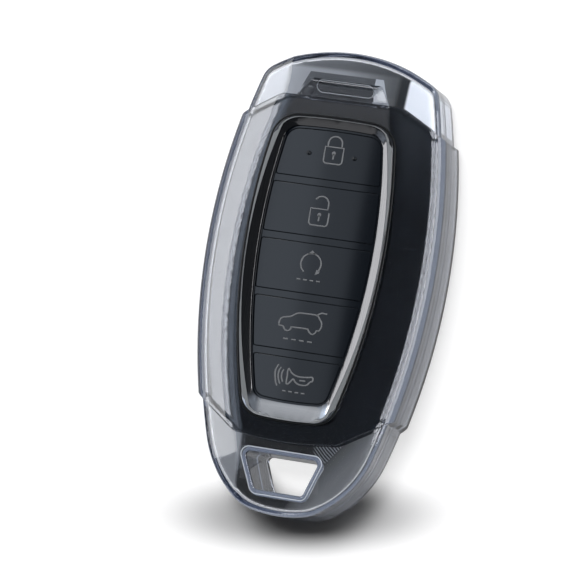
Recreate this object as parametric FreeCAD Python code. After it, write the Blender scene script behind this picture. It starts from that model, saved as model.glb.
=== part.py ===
import FreeCAD, Part
import math
import os
from FreeCAD import Vector

# A clear two-piece cover closed on a five-key smart fob. It lies on its back:
# X is the width, Y the length (key-ring hole at the low end), Z up out of the keypad.
# All lengths are in millimetres.

# Whole cover
cover_length = 90.0
cover_width = 46.0
cover_height = 20.0
shell_wall = 1.2
fob_clearance = 0.1
overrun = 2.0
min_round = 0.3

# Plan outline of the end caps
top_cap_length = 9.8
bottom_cap_length = 13.9
side_bow_share = 0.0943
side_rise = 3.3
top_arc_share = 0.717
top_corner_radius = 4.0
shoulder_drop = 0.6
shoulder_radius = 21.2
bottom_arc_share = 0.522
bottom_corner_radius = 9.0

# Face seen from the side: a long crown that rolls off over the caps
crown_drop = 0.8
roll_overlap = 2.1
top_roll_radius = 32.0
bottom_roll_radius = 50.0

# Sloping facets on both sides of the face
facet_run_share = 0.1522
facet_bow_share = 0.148
facet_rise = 2.0
facet_slope_deg = 27.0

# Edge rounding
cap_facet_round = 1.6
cap_rim_round = 1.2
band_facet_round = 7.0
band_rim_round = 2.2
back_round = 2.8

# Raised band round the middle
band_step = 0.9
band_top_inset_share = 0.2239
band_top_sweep_deg = 28.0
band_bottom_inset_share = 0.2522
band_bottom_sweep_deg = 34.0
band_bottom_radius = 56.0
band_corner_round = 3.0
band_edge_round = 0.35

# Tongue and groove between the two cover shells
parting_drop = 0.5
tongue_height = 1.2
tongue_thickness = 0.5
tongue_clearance = 0.06

# Key-ring hole through everything
hole_margin = 4.4
hole_height = 7.0
hole_top_half = 7.5
hole_bottom_half = 4.75
hole_corner = 0.9
hole_edge_round = 0.5
tube_wall = 1.0

# Sunken pocket in the top cap
pocket_offset = 0.35
pocket_floor_height = 2.1
pocket_low_share = 0.1346
pocket_high_share = 0.1091
pocket_depth = 1.5
pocket_side_share = 0.0609
pocket_end_run = 1.1
pocket_corner = 0.6
pocket_skin = 0.8

# Window and silver trim ring
window_top_margin = 4.15
window_bottom_margin = 4.3
face_margin = 1.8
trim_side = 1.9
trim_top = 1.65
trim_bottom = 3.1
trim_lip = 0.2
trim_flat = 0.12
trim_proud = 0.22
trim_inner_wall = 0.3
trim_gap = 0.04
trim_corner_top = 4.6
trim_corner_bottom = 4.2
pad_corner_top = 3.0
pad_corner_bottom = 2.6
window_rise = 5.0
window_bow_share = 0.0782
window_top_radius = 120.0
window_bottom_radius = 60.0

# Keypad
key_names = ("lock", "unlock", "start", "tailgate", "horn")
pad_depth = 1.15
frame_thickness = 4.05
frame_border = 0.35
frame_flange = 1.3
key_height_shares = (0.202, 0.207, 0.206, 0.208, 0.177)
crossbar_width = 1.25
key_gap = 0.09
key_corner = 0.5
key_top_round = 0.15
key_flange = 0.4
key_flange_thickness = 0.8
key_rest_gap = 0.1
key_stem_radius = 1.6
key_stem_length = 0.8
dot_radius = 0.42
dot_reach_share = 0.4

# Push switches on the board
switch_side = 4.6
switch_height = 1.4
switch_floor = 0.2
plunger_radius = 1.0
plunger_proud = 0.7
plunger_depth = 0.5
plunger_gap = 0.06

# Fob housing
fob_rim_round = 3.6
fob_wall = 1.2
fob_joint_gap = 0.1
seal_height = 0.5
seal_inset = 0.4
seal_width = 0.7

# Circuit board and what it carries
board_thickness = 1.0
board_gap = 0.4
mat_thickness = 0.4
mat_margin = 1.0
mat_clearance = 0.4
boss_radius = 2.2
boss_side_gap = 1.4
boss_rise_share = 0.19
post_radius = 1.6
post_rise_share = 0.56
screw_radius = 0.8
screw_length = 5.0
screw_head_radius = 1.5
screw_head_height = 0.9
screw_socket_radius = 0.7
screw_socket_depth = 0.5
screw_gap = 0.06
chip_side = 6.0
chip_height = 0.9
radio_side = 4.0
radio_height = 0.8
crystal_length = 3.2
crystal_width = 2.5
crystal_height = 0.8
coil_side = 8.0
coil_height = 3.0
coil_flange = 0.6
coil_waist = 0.8
part_gap = 0.5
crystal_place_shares = (-0.58, 0.46)
coil_place_shares = (-0.55, 0.34)
led_place_shares = (0.86, 0.78)
led_length = 1.6
led_width = 0.8
led_height = 0.6
passive_length = 1.6
passive_width = 0.8
passive_height = 0.6
passive_count = 5
passive_pitch = 2.4
passive_side_share = 0.82

# Coin cell, its tray and contacts
cell_radius = 10.0
cell_height = 3.2
cell_rim = 0.4
tray_wall = 1.2
tray_gap = 0.15
tray_margin = 0.8
contact_height = 0.9
contact_thickness = 0.2
contact_width = 4.0
contact_reach = 6.0
clip_thickness = 0.3
clip_width = 5.0
clip_foot = 2.5
clip_tab = 1.4
clip_slot_gap = 0.3

# Emergency key
tang_length = 7.0
tang_half_width = 6.0
tang_height = 4.0
tang_lift = 0.1
blade_width = 7.6
blade_thickness = 2.2
blade_lift = 1.0
blade_root = 5.0
blade_tip_gap = 3.0
blade_tip = 2.4
blade_groove_width = 1.6
blade_groove_depth = 0.6
blade_groove_margin = 4.0
blade_gap = 0.06
rail_wall = 1.0
rail_gap = 0.2
rail_height = 2.6

# Worked out from the above
top_y = cover_length / 2
bottom_y = -cover_length / 2
band_top_y = top_y - top_cap_length
band_bottom_y = bottom_y + bottom_cap_length
waist_y = (band_top_y + band_bottom_y) / 2
side_y = waist_y + side_rise
band_half = (band_top_y - band_bottom_y) / 2
base_half = cover_width / 2 - band_step
base_top_z = cover_height - band_step
top_arc_radius = top_arc_share * cover_width
bottom_arc_radius = bottom_arc_share * cover_width
facet_slope = math.radians(facet_slope_deg)
facet_half_width = base_half - facet_run_share * cover_width
parting_z = cover_height / 2 - parting_drop


def bow_radius(half_chord, bow):
    """Radius of the arc that stands out by bow over a chord."""
    return (half_chord ** 2 + bow ** 2) / (2 * bow)


side_radius = bow_radius(band_half, side_bow_share * cover_width)
facet_radius = bow_radius(band_half, facet_bow_share * cover_width)
crown_radius = bow_radius(band_half, crown_drop)

fob_inset = shell_wall + fob_clearance
inner_inset = fob_inset + fob_wall
floor_z = band_step + inner_inset
fob_parting_z = parting_z - tongue_height / 2

hole_low_y = bottom_y + hole_margin
hole_high_y = hole_low_y + hole_height

trim_half = facet_half_width - face_margin
trim_top_y = band_top_y - window_top_margin
trim_bottom_y = band_bottom_y + window_bottom_margin
pad_half = trim_half - trim_side
pad_top_y = trim_top_y - trim_top
pad_bottom_y = trim_bottom_y + trim_bottom
window_waist_y = (pad_top_y + pad_bottom_y) / 2 + window_rise
window_side_radius = bow_radius((trim_top_y - trim_bottom_y) / 2, window_bow_share * cover_width)
pad_z = cover_height - pad_depth
trim_bottom_z = pad_z + trim_gap

frame_bottom_z = pad_z - frame_thickness
key_flange_top_z = frame_bottom_z - key_rest_gap
key_flange_z = key_flange_top_z - key_flange_thickness
key_bottom_z = key_flange_z - key_stem_length
board_top_z = key_bottom_z - plunger_proud - switch_height
board_z = board_top_z - board_thickness
key_room = pad_top_y - pad_bottom_y - 2 * frame_border - (len(key_names) - 1) * crossbar_width

inner_top_y = band_top_y - fob_wall
inner_bottom_y = band_bottom_y + fob_wall
inner_half = base_half - inner_inset
inner_length = inner_top_y - inner_bottom_y
tray_radius = cell_radius + tray_gap + tray_wall
cell_y = inner_top_y - tray_radius - tray_margin
cell_z = board_z - contact_height - cell_height
boss_y = inner_bottom_y + boss_rise_share * inner_length
post_y = inner_bottom_y + post_rise_share * inner_length
passive_x = passive_side_share * (inner_half - board_gap)
parts_side_x = passive_x - passive_length / 2 - part_gap
chip_spot = (parts_side_x - chip_side / 2, boss_y + boss_radius + part_gap + chip_side / 2)
radio_spot = (parts_side_x - radio_side / 2, post_y - post_radius - part_gap - radio_side / 2)
blade_z = floor_z + blade_lift
blade_root_y = band_bottom_y + tang_length - blade_root
blade_tip_y = cell_y - tray_radius - blade_tip_gap


def mirrored(point):
    return Vector(-point.x, point.y, point.z)


def circle_hits(first, first_radius, second, second_radius):
    """Both points where two circles in the XY plane cross."""
    way = second - first
    along = (first_radius ** 2 - second_radius ** 2 + way.Length ** 2) / (2 * way.Length)
    off = math.sqrt(first_radius ** 2 - along ** 2)
    middle = first + way * (along / way.Length)
    across = Vector(-way.y, way.x, 0) / way.Length
    return [middle + across * off, middle - across * off]


def short_arc(center, start, end):
    """The shorter arc about center from start to end."""
    middle = (start - center) + (end - center)
    radius = (start - center).Length
    return Part.Arc(start, center + middle * (radius / middle.Length), end).toShape()


def raised(wire, low_z, high_z):
    """Solid that stands on a plan wire between two heights."""
    face = Part.Face(wire)
    face.translate(Vector(0, 0, low_z))
    return face.extrude(Vector(0, 0, high_z - low_z))


def upright_edges(solid, point):
    """Vertical edges of a prism at a plan point and at its mirror image."""
    found = []
    for edge in solid.Edges:
        ends = edge.Vertexes
        near = all(abs(abs(v.X) - abs(point.x)) < min_round / 100 for v in ends)
        level = all(abs(v.Y - point.y) < min_round / 100 for v in ends)
        if near and level and abs(ends[0].Z - ends[-1].Z) > min_round:
            found.append(edge)
    return found


def round_corners(solid, rounds):
    """Round the vertical edges at each plan point by its own radius."""
    for point, radius in rounds:
        solid = solid.makeFillet(max(radius, min_round), upright_edges(solid, point))
    return solid


def slab(low_z, high_z):
    """Block wider than the cover between two heights."""
    corner = Vector(-cover_width, -cover_length, low_z)
    return Part.makeBox(2 * cover_width, 2 * cover_length, high_z - low_z, corner)


def block(half_width, low_y, high_y, low_z, high_z, middle_x=0):
    corner = Vector(middle_x - half_width, low_y, low_z)
    return Part.makeBox(2 * half_width, high_y - low_y, high_z - low_z, corner)


def side_prism(points, half_width):
    """Solid from an outline in the YZ plane, reaching half_width to both sides."""
    face = Part.Face(Part.makePolygon([Vector(-half_width, y, z) for y, z in points + points[:1]]))
    return face.extrude(Vector(2 * half_width, 0, 0))


# The common form of cover, cavity and fob: each is this form moved inwards by an inset

def plan_prism(inset, low_z, high_z):
    """Plan outline of the caps, moved inwards by inset, as a prism."""
    side = Vector(base_half - side_radius, side_y, 0)
    top = Vector(0, top_y - top_arc_radius, 0)
    bottom = Vector(0, bottom_y + bottom_arc_radius, 0)
    lean = (band_bottom_y - shoulder_drop - side_y) / side_radius
    way = Vector(math.sqrt(1 - lean ** 2), lean, 0)
    shoulder = side + way * (side_radius - shoulder_radius)
    corner = max(circle_hits(top, top_arc_radius - inset, side, side_radius - inset), key=lambda p: p.y)
    turn = side + way * (side_radius - inset)
    hits = circle_hits(shoulder, shoulder_radius - inset, bottom, bottom_arc_radius - inset)
    foot = min([p for p in hits if p.x > 0], key=lambda p: p.y)
    wire = Part.Wire([
        short_arc(top, mirrored(corner), corner),
        short_arc(side, corner, turn),
        short_arc(shoulder, turn, foot),
        short_arc(bottom, foot, mirrored(foot)),
        short_arc(mirrored(shoulder), mirrored(foot), mirrored(turn)),
        short_arc(mirrored(side), mirrored(turn), mirrored(corner)),
    ])
    rounds = [(corner, top_corner_radius - inset), (foot, bottom_corner_radius - inset)]
    return round_corners(raised(wire, low_z, high_z), rounds)


def roll_center(station_y, radius):
    """Direction of the crown at a station and the centre of the arc that rolls off from it."""
    lean = (station_y - waist_y) / crown_radius
    way = Vector(0, lean, math.sqrt(1 - lean ** 2))
    crown = Vector(0, waist_y, base_top_z - crown_radius)
    return way, crown + way * (crown_radius - radius)


def on_arc(center, radius, y):
    return Vector(0, y, center.z + math.sqrt(radius ** 2 - (y - center.y) ** 2))


def face_z(y):
    """Height of the cap level on the middle line."""
    roll_y = band_top_y - roll_overlap
    if y > roll_y:
        return on_arc(roll_center(roll_y, top_roll_radius)[1], top_roll_radius, y).z
    return on_arc(Vector(0, waist_y, base_top_z - crown_radius), crown_radius, y).z


def side_profile(inset):
    """Everything under the crowned face, moved inwards by inset."""
    crown = Vector(0, waist_y, base_top_z - crown_radius)
    top_way, top_roll = roll_center(band_top_y - roll_overlap, top_roll_radius)
    bottom_way, bottom_roll = roll_center(band_bottom_y + roll_overlap, bottom_roll_radius)
    top_join = crown + top_way * (crown_radius - inset)
    bottom_join = crown + bottom_way * (crown_radius - inset)
    top_end = on_arc(top_roll, top_roll_radius - inset, top_y + overrun)
    bottom_end = on_arc(bottom_roll, bottom_roll_radius - inset, bottom_y - overrun)
    top_foot = Vector(0, top_end.y, -overrun)
    bottom_foot = Vector(0, bottom_end.y, -overrun)
    face = Part.Face(Part.Wire([
        short_arc(crown, bottom_join, top_join),
        short_arc(top_roll, top_join, top_end),
        Part.makeLine(top_end, top_foot),
        Part.makeLine(top_foot, bottom_foot),
        Part.makeLine(bottom_foot, bottom_end),
        short_arc(bottom_roll, bottom_end, bottom_join),
    ]))
    face.translate(Vector(-cover_width, 0, 0))
    return face.extrude(Vector(2 * cover_width, 0, 0))


def facet_cone(inset, side):
    """Cone whose slope is the facet on one side of the face."""
    low_z = -overrun
    high_z = cover_height + overrun
    face_radius = facet_radius - inset / math.sin(facet_slope)
    low_radius = face_radius + (base_top_z - low_z) / math.tan(facet_slope)
    high_radius = face_radius + (base_top_z - high_z) / math.tan(facet_slope)
    foot = Vector(side * (facet_half_width - facet_radius), waist_y + facet_rise, low_z)
    return Part.makeCone(low_radius, high_radius, high_z - low_z, foot)


def envelope(inset):
    """The common form with sharp edges."""
    solid = plan_prism(inset, band_step + inset, cover_height + overrun)
    solid = solid.common(side_profile(inset))
    return solid.common(facet_cone(inset, 1)).common(facet_cone(inset, -1))


def face_kind(face):
    surface = face.Surface
    if isinstance(surface, Part.Cone):
        return "facet"
    if isinstance(surface, Part.Cylinder) and abs(surface.Axis.x) > abs(surface.Axis.z):
        return "crown"
    upright = abs(face.normalAt(*face.Surface.parameter(face.CenterOfMass)).z) < math.sin(facet_slope) / 2
    return "wall" if upright else "other"


def rounded_envelope(inset, facet_round, rim_round):
    """The common form with its facet, back and rim edges rounded."""
    solid = envelope(inset)
    soft = []
    for edge in solid.Edges:
        kinds = sorted(face_kind(f) for f in solid.ancestorsOfType(edge, Part.Face))
        if kinds == ["crown", "facet"]:
            soft.append(edge)
    solid = solid.makeFillet(max(facet_round - inset, min_round), soft)
    back_z = band_step + inset
    back = [e for e in solid.Edges if e.BoundBox.ZMax < back_z + min_round / 10]
    solid = solid.makeFillet(max(back_round - inset, min_round), back)
    rim = []
    for edge in solid.Edges:
        kinds = [face_kind(f) for f in solid.ancestorsOfType(edge, Part.Face)]
        if kinds.count("wall") == 1 and edge.BoundBox.ZMin > parting_z:
            rim.append(edge)
    return solid.makeFillet(max(rim_round - inset, min_round), rim)


def band_region(shrink, low_z, high_z):
    """Plan region of the raised band, its two ends drawn in by shrink."""
    reach = cover_width / 2 + overrun
    top_half = base_half - band_top_inset_share * cover_width
    bottom_half = base_half - band_bottom_inset_share * cover_width
    high_y = band_top_y - shrink
    low_y = band_bottom_y + shrink
    sag = band_bottom_radius - math.sqrt(band_bottom_radius ** 2 - bottom_half ** 2)
    top_bend = Vector(top_half, high_y, 0)
    top_side = Vector(reach, high_y - (reach - top_half) * math.tan(math.radians(band_top_sweep_deg)), 0)
    low_bend = Vector(bottom_half, low_y + sag, 0)
    sweep = math.tan(math.radians(band_bottom_sweep_deg))
    low_side = Vector(reach, low_y + sag + (reach - bottom_half) * sweep, 0)
    wire = Part.Wire([
        Part.makeLine(mirrored(top_bend), top_bend),
        Part.makeLine(top_bend, top_side),
        Part.makeLine(top_side, low_side),
        Part.makeLine(low_side, low_bend),
        Part.Arc(low_bend, Vector(0, low_y, 0), mirrored(low_bend)).toShape(),
        Part.makeLine(mirrored(low_bend), mirrored(low_side)),
        Part.makeLine(mirrored(low_side), mirrored(top_side)),
        Part.makeLine(mirrored(top_side), mirrored(top_bend)),
    ])
    rounds = [(top_bend, band_corner_round), (low_bend, band_corner_round)]
    return round_corners(raised(wire, low_z, high_z), rounds)


def hole_prism(grow, low_z, high_z):
    """Trapezoid key-ring hole, grown all round."""
    lean = (hole_top_half - hole_bottom_half) / hole_height
    side = grow * math.sqrt(1 + lean ** 2)
    high = Vector(hole_top_half + lean * grow + side, hole_high_y + grow, 0)
    low = Vector(hole_bottom_half - lean * grow + side, hole_low_y - grow, 0)
    wire = Part.makePolygon([mirrored(high), high, low, mirrored(low), mirrored(high)])
    radius = hole_corner + grow
    return round_corners(raised(wire, low_z, high_z), [(high, radius), (low, radius)])


def lies_on(edge, solid):
    """Whether an edge that isn't upright runs along the outside of a prism."""
    box = edge.BoundBox
    if box.XLength + box.YLength < min_round / 10:
        return False
    marks = [Part.Vertex(p) for p in edge.discretize(4)]
    return all(solid.Shells[0].distToShape(mark)[0] < min_round / 100 for mark in marks)


def bottom_wire(solid):
    """Outer wire of a prism's lowest face."""
    return min(solid.Faces, key=lambda f: f.CenterOfMass.z).OuterWire


def pocket(grow):
    """Sunken pocket of the top cap with sloping walls, its skin grown outwards."""
    low_y = band_top_y + pocket_offset - grow
    high_y = low_y + pocket_floor_height + 2 * grow
    floor = face_z((low_y + high_y) / 2) - pocket_depth - grow
    wires = []
    for step in (0, 2):
        side = step * pocket_side_share * cover_width + grow
        low = Vector(pocket_low_share * cover_width + side, low_y, 0)
        high = Vector(pocket_high_share * cover_width + side, high_y + step * pocket_end_run, 0)
        outline = Part.makePolygon([mirrored(high), high, low, mirrored(low), mirrored(high)])
        height = floor + step * pocket_depth
        prism = raised(outline, height, height + overrun)
        wires.append(bottom_wire(round_corners(prism, [(high, pocket_corner), (low, pocket_corner)])))
    return Part.makeLoft(wires, True, True)


def barrel_prism(half, high_y, low_y, corners, grow, low_z, high_z):
    """Barrel outline of the keypad and its trim, grown all round, as a prism."""
    side_r = window_side_radius + grow
    top_r = window_top_radius + grow
    bottom_r = window_bottom_radius + grow
    side = Vector(half - window_side_radius, window_waist_y, 0)
    top = Vector(0, high_y - window_top_radius, 0)
    bottom = Vector(0, low_y + window_bottom_radius, 0)
    high = max(circle_hits(top, top_r, side, side_r), key=lambda p: p.y)
    low = min(circle_hits(bottom, bottom_r, side, side_r), key=lambda p: p.y)
    wire = Part.Wire([
        short_arc(top, mirrored(high), high),
        short_arc(side, high, low),
        short_arc(bottom, low, mirrored(low)),
        short_arc(mirrored(side), mirrored(low), mirrored(high)),
    ])
    rounds = [(high, corners[0] + grow), (low, corners[1] + grow)]
    return round_corners(raised(wire, low_z, high_z), rounds)


def trim_prism(grow, low_z, high_z):
    corners = (trim_corner_top, trim_corner_bottom)
    return barrel_prism(trim_half, trim_top_y, trim_bottom_y, corners, grow, low_z, high_z)


def pad_prism(grow, low_z, high_z):
    corners = (pad_corner_top, pad_corner_bottom)
    return barrel_prism(pad_half, pad_top_y, pad_bottom_y, corners, grow, low_z, high_z)


# Cover shells

def cover_outer():
    """Outside of the closed cover: caps and the raised band."""
    caps = rounded_envelope(0, cap_facet_round, cap_rim_round)
    band = rounded_envelope(-band_step, band_facet_round, band_rim_round)
    region = band_region(0, -overrun, cover_height + overrun)
    band = band.common(region)
    ends = [e for e in band.Edges if lies_on(e, region)]
    band = band.makeFillet(band_edge_round, ends)
    return caps.fuse(band).removeSplitter()


def cover_hollow():
    """Room for the fob, without the tube round the key-ring hole and the pocket's skin."""
    room = rounded_envelope(shell_wall, band_facet_round, band_rim_round)
    room = room.cut(hole_prism(tube_wall, -overrun, cover_height + overrun))
    return room.cut(pocket(pocket_skin))


def tongue(clearance):
    """Rim of the rear shell that stands into the front one."""
    outer = plan_prism(shell_wall - tongue_thickness - clearance, parting_z - tongue_height,
                       parting_z + tongue_height + clearance)
    inner = plan_prism(shell_wall + clearance, parting_z - 2 * tongue_height, parting_z + 2 * tongue_height)
    return outer.cut(inner)


def cover_front_shell(outer, hollow):
    shell = outer.common(slab(parting_z, cover_height + overrun)).cut(hollow)
    hole = hole_prism(0, -overrun, cover_height + overrun)
    shell = shell.cut(hole)
    mouth = [e for e in shell.Edges if e.BoundBox.ZMin > parting_z + min_round and lies_on(e, hole)]
    shell = shell.makeFillet(hole_edge_round, mouth)
    shell = shell.cut(pocket(0))
    shell = shell.cut(trim_prism(trim_gap, parting_z, cover_height + overrun))
    return shell.cut(tongue(tongue_clearance))


def cover_rear_shell(outer, hollow):
    shell = outer.common(slab(-overrun, parting_z)).cut(hollow)
    hole = hole_prism(0, -overrun, cover_height + overrun)
    shell = shell.cut(hole)
    mouth = [e for e in shell.Edges if e.BoundBox.ZMax < parting_z - min_round and lies_on(e, hole)]
    shell = shell.makeFillet(hole_edge_round, mouth)
    return shell.fuse(tongue(0)).removeSplitter()


def window_trim_ring():
    """Bevelled ring that lines the window, with a thin lip on the face of the cover."""
    high_z = cover_height + overrun
    proud = envelope(-band_step - trim_proud)
    ring = trim_prism(0, trim_bottom_z, high_z).common(proud)
    lip = trim_prism(trim_lip, parting_z, high_z).common(proud).cut(envelope(-band_step - trim_gap))
    ring = ring.fuse(lip)
    inner_z = trim_bottom_z + trim_inner_wall
    mouth_z = cover_height + trim_proud
    depth = mouth_z - inner_z
    top_fall = base_top_z - face_z(trim_top_y)
    bottom_fall = base_top_z - face_z(trim_bottom_y)
    top_reach = (trim_top - trim_flat) * depth / (depth - top_fall)
    bottom_reach = (trim_bottom - trim_flat) * depth / (depth - bottom_fall)
    corners = (trim_corner_top, trim_corner_bottom)
    mouth = barrel_prism(trim_half - trim_flat, pad_top_y + top_reach, pad_bottom_y - bottom_reach, corners,
                         0, mouth_z, high_z)
    throat = pad_prism(trim_gap, inner_z, high_z)
    funnel = Part.makeLoft([bottom_wire(throat), bottom_wire(mouth)], True, True)
    ring = ring.cut(pad_prism(trim_gap, parting_z, inner_z)).cut(funnel)
    return ring.cut(mouth).removeSplitter()


# Fob housing

def fob_body():
    return rounded_envelope(fob_inset, band_facet_round, fob_rim_round)


def fob_room():
    """Space inside the housing."""
    return envelope(inner_inset).common(band_region(fob_wall, 0, cover_height))


def housing_seal():
    """Flat gasket between the housing halves."""
    low_z = fob_parting_z
    high_z = low_z + seal_height
    region = band_region(seal_inset, low_z, high_z)
    inner = band_region(seal_inset + seal_width, low_z, high_z)
    outer_ring = plan_prism(fob_inset + seal_inset, low_z, high_z).common(region)
    return outer_ring.cut(plan_prism(fob_inset + seal_inset + seal_width, low_z, high_z).common(inner))


def fob_front_housing(body, room):
    middle = body.common(band_region(0, 0, cover_height))
    shell = middle.common(slab(fob_parting_z + seal_height, cover_height)).cut(room)
    shell = shell.cut(pocket(pocket_skin + fob_clearance))
    return shell.cut(pad_prism(key_gap, parting_z, cover_height))


def blade_channel():
    """Guide in the rear housing that the emergency key slides along."""
    low_y = band_bottom_y + tang_length + rail_gap
    half = blade_width / 2 + rail_gap + rail_wall
    guide = block(half, low_y, blade_tip_y + rail_wall, floor_z, floor_z + rail_height)
    slot_z = blade_z - blade_gap
    return guide.cut(block(blade_width / 2 + rail_gap, low_y - overrun, blade_tip_y + rail_gap,
                           slot_z, floor_z + rail_height + overrun))


def room_half(y):
    """Half width of the room inside the housing at a place along it."""
    return inner_half - side_radius + math.sqrt(side_radius ** 2 - (y - side_y) ** 2)


def board_places():
    """Screw bosses near the low end and plain posts further up, on both sides."""
    places = []
    for y in (boss_y, post_y):
        x = room_half(y) - boss_radius - boss_side_gap
        places.append([(-x, y), (x, y)])
    return places


def fob_rear_housing(body, room):
    middle = body.common(band_region(0, 0, cover_height))
    shell = middle.common(slab(0, fob_parting_z)).cut(room)
    tang_room = tang_half_width + rail_gap
    low_z = floor_z
    shell = shell.cut(block(tang_room, band_bottom_y - overrun, band_bottom_y + tang_length,
                            low_z, floor_z + tang_lift + tang_height + rail_gap))
    shell = shell.fuse(blade_channel())
    bosses, posts = board_places()
    for x, y in bosses:
        boss = Part.makeCylinder(boss_radius, board_z - floor_z, Vector(x, y, floor_z))
        bore_z = board_top_z - screw_length - screw_gap
        bore = Part.makeCylinder(screw_radius + screw_gap, screw_length + overrun, Vector(x, y, bore_z))
        boss = boss.cut(bore)
        shell = shell.fuse(boss)
    for x, y in posts:
        shell = shell.fuse(Part.makeCylinder(post_radius, board_z - floor_z, Vector(x, y, floor_z)))
    return shell.removeSplitter()


def fob_end(body, side):
    """Metal-look end of the fob beyond the housing: side 1 is the top, -1 the bottom."""
    region = band_region(-fob_joint_gap, 0, cover_height)
    half_room = slab(0, cover_height)
    half_room.translate(Vector(0, side * cover_length, 0))
    return body.cut(region).common(half_room)


def fob_top_cap(body):
    return fob_end(body, 1).cut(pocket(pocket_skin + fob_clearance))


def emergency_key_head(body):
    """Lower end of the fob: the key-ring loop, with a tang that carries the blade."""
    head = fob_end(body, -1)
    head = head.cut(hole_prism(tube_wall + fob_clearance, 0, cover_height))
    low_z = floor_z + tang_lift
    tang_y = band_bottom_y + tang_length
    hidden = (hole_high_y + tube_wall + fob_clearance + band_bottom_y) / 2
    tang = block(tang_half_width, hidden, tang_y, low_z, low_z + tang_height)
    slot = block(blade_width / 2 + blade_gap, blade_root_y - blade_gap, tang_y + overrun,
                 blade_z - blade_gap, blade_z + blade_thickness + blade_gap)
    return head.fuse(tang).cut(slot).removeSplitter()


def emergency_key_blade():
    """Flat blade with a tapered tip and a milled groove along its upper face."""
    half = blade_width / 2
    outline = Part.makePolygon([
        Vector(-half, blade_root_y, 0), Vector(half, blade_root_y, 0),
        Vector(half, blade_tip_y - blade_tip, 0), Vector(half - blade_tip, blade_tip_y, 0),
        Vector(blade_tip - half, blade_tip_y, 0), Vector(-half, blade_tip_y - blade_tip, 0),
        Vector(-half, blade_root_y, 0),
    ])
    top_z = blade_z + blade_thickness
    blade = raised(outline, blade_z, top_z)
    groove = block(blade_groove_width / 2, band_bottom_y + tang_length + blade_groove_margin,
                   blade_tip_y - blade_groove_margin, top_z - blade_groove_depth, top_z + overrun)
    return blade.cut(groove)


# Keypad

def key_span(index):
    """Lower and upper end of one key along Y, counted from the top."""
    above = sum(key_height_shares[:index]) * key_room + index * crossbar_width
    high = pad_top_y - frame_border - above
    return high - key_height_shares[index] * key_room, high


def key_middle_y(index):
    low, high = key_span(index)
    return (low + high) / 2


def key_block(index, shrink, low_z, high_z):
    """One key's plan outline, drawn in by shrink, as a prism."""
    low, high = key_span(index)
    ends = len(key_names) - 1
    low_y = low - overrun if index == ends else low + shrink
    high_y = high + overrun if index == 0 else high - shrink
    area = pad_prism(-frame_border - shrink, low_z, high_z)
    solid = area.common(block(cover_width, low_y, high_y, low_z, high_z))
    corners = [e for e in solid.Edges if min(abs(e.BoundBox.YMin - low_y), abs(e.BoundBox.YMax - high_y))
               + abs(e.BoundBox.YLength) + abs(e.BoundBox.XLength) < min_round / 10]
    return solid.makeFillet(max(key_corner - shrink, min_round), corners)


def key_cap(index):
    """Key with a rounded top, a flange that keeps it under the frame, and a stem."""
    cap = key_block(index, key_gap, key_flange_z, pad_z)
    top = [e for e in cap.Edges if e.BoundBox.ZMin > pad_z - min_round / 10]
    cap = cap.makeFillet(key_top_round, top)
    flange = key_block(index, key_gap - key_flange, key_flange_z, key_flange_top_z)
    middle_y = key_middle_y(index)
    stem_length = key_flange_top_z - key_bottom_z
    stem = Part.makeCylinder(key_stem_radius, stem_length, Vector(0, middle_y, key_bottom_z))
    cap = cap.fuse(flange).fuse(stem)
    if index == 0:
        for side in (-1, 1):
            dot_x = side * dot_reach_share * pad_half
            cap = cap.fuse(Part.makeSphere(dot_radius, Vector(dot_x, middle_y, pad_z)))
    return cap.removeSplitter()


def keypad_frame():
    """Plate with crossbars between the keys, and a flange under the housing wall."""
    plate = pad_prism(0, frame_bottom_z, pad_z)
    flange = pad_prism(frame_flange, frame_bottom_z, pad_z).common(envelope(inner_inset + fob_clearance))
    frame = plate.fuse(flange)
    for index in range(len(key_names)):
        frame = frame.cut(key_block(index, 0, frame_bottom_z - overrun, pad_z + overrun))
    return frame.removeSplitter()


def push_switch(index):
    middle_y = key_middle_y(index)
    half = switch_side / 2
    top_z = board_top_z + switch_height
    body = block(half, middle_y - half, middle_y + half, board_top_z, top_z)
    foot = Vector(0, middle_y, board_top_z + switch_floor)
    return body.cut(Part.makeCylinder(plunger_radius + plunger_gap, switch_height, foot))


def switch_plunger(index):
    low_z = board_top_z + switch_height - plunger_depth
    return Part.makeCylinder(plunger_radius, key_bottom_z - low_z, Vector(0, key_middle_y(index), low_z))


def keypad_mat():
    """Soft sheet on the board, open round each switch."""
    mat = pad_prism(mat_margin, board_top_z, board_top_z + mat_thickness)
    half = switch_side / 2 + mat_clearance
    for index in range(len(key_names)):
        middle_y = key_middle_y(index)
        mat = mat.cut(block(half, middle_y - half, middle_y + half, board_z, pad_z))
    return mat


# Board and its parts

def board_spot(shares):
    """Place on the board from its shares of the half width and of the length."""
    across, along = shares
    return across * (inner_half - board_gap), inner_bottom_y + along * inner_length


def circuit_board():
    board = plan_prism(inner_inset + board_gap, board_z, board_top_z)
    board = board.common(band_region(fob_wall + board_gap, board_z, board_top_z))
    for x, y in board_places()[0]:
        board = board.cut(Part.makeCylinder(screw_radius + screw_gap, board_thickness, Vector(x, y, board_z)))
    return board


def board_screws():
    """Two pan-head screws, one solid each."""
    screws = []
    for x, y in board_places()[0]:
        shank = Part.makeCylinder(screw_radius, screw_length, Vector(x, y, board_top_z - screw_length))
        head = Part.makeCylinder(screw_head_radius, screw_head_height, Vector(x, y, board_top_z))
        socket_z = board_top_z + screw_head_height - screw_socket_depth
        socket = Part.makeCylinder(screw_socket_radius, screw_socket_depth, Vector(x, y, socket_z))
        screws.append(shank.fuse(head).cut(socket).removeSplitter())
    return Part.makeCompound(screws)


def under_board(spot, length, width, height):
    """Chip-like block fixed under the board."""
    x, y = spot
    return block(length / 2, y - width / 2, y + width / 2, board_z - height, board_z, x)


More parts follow.
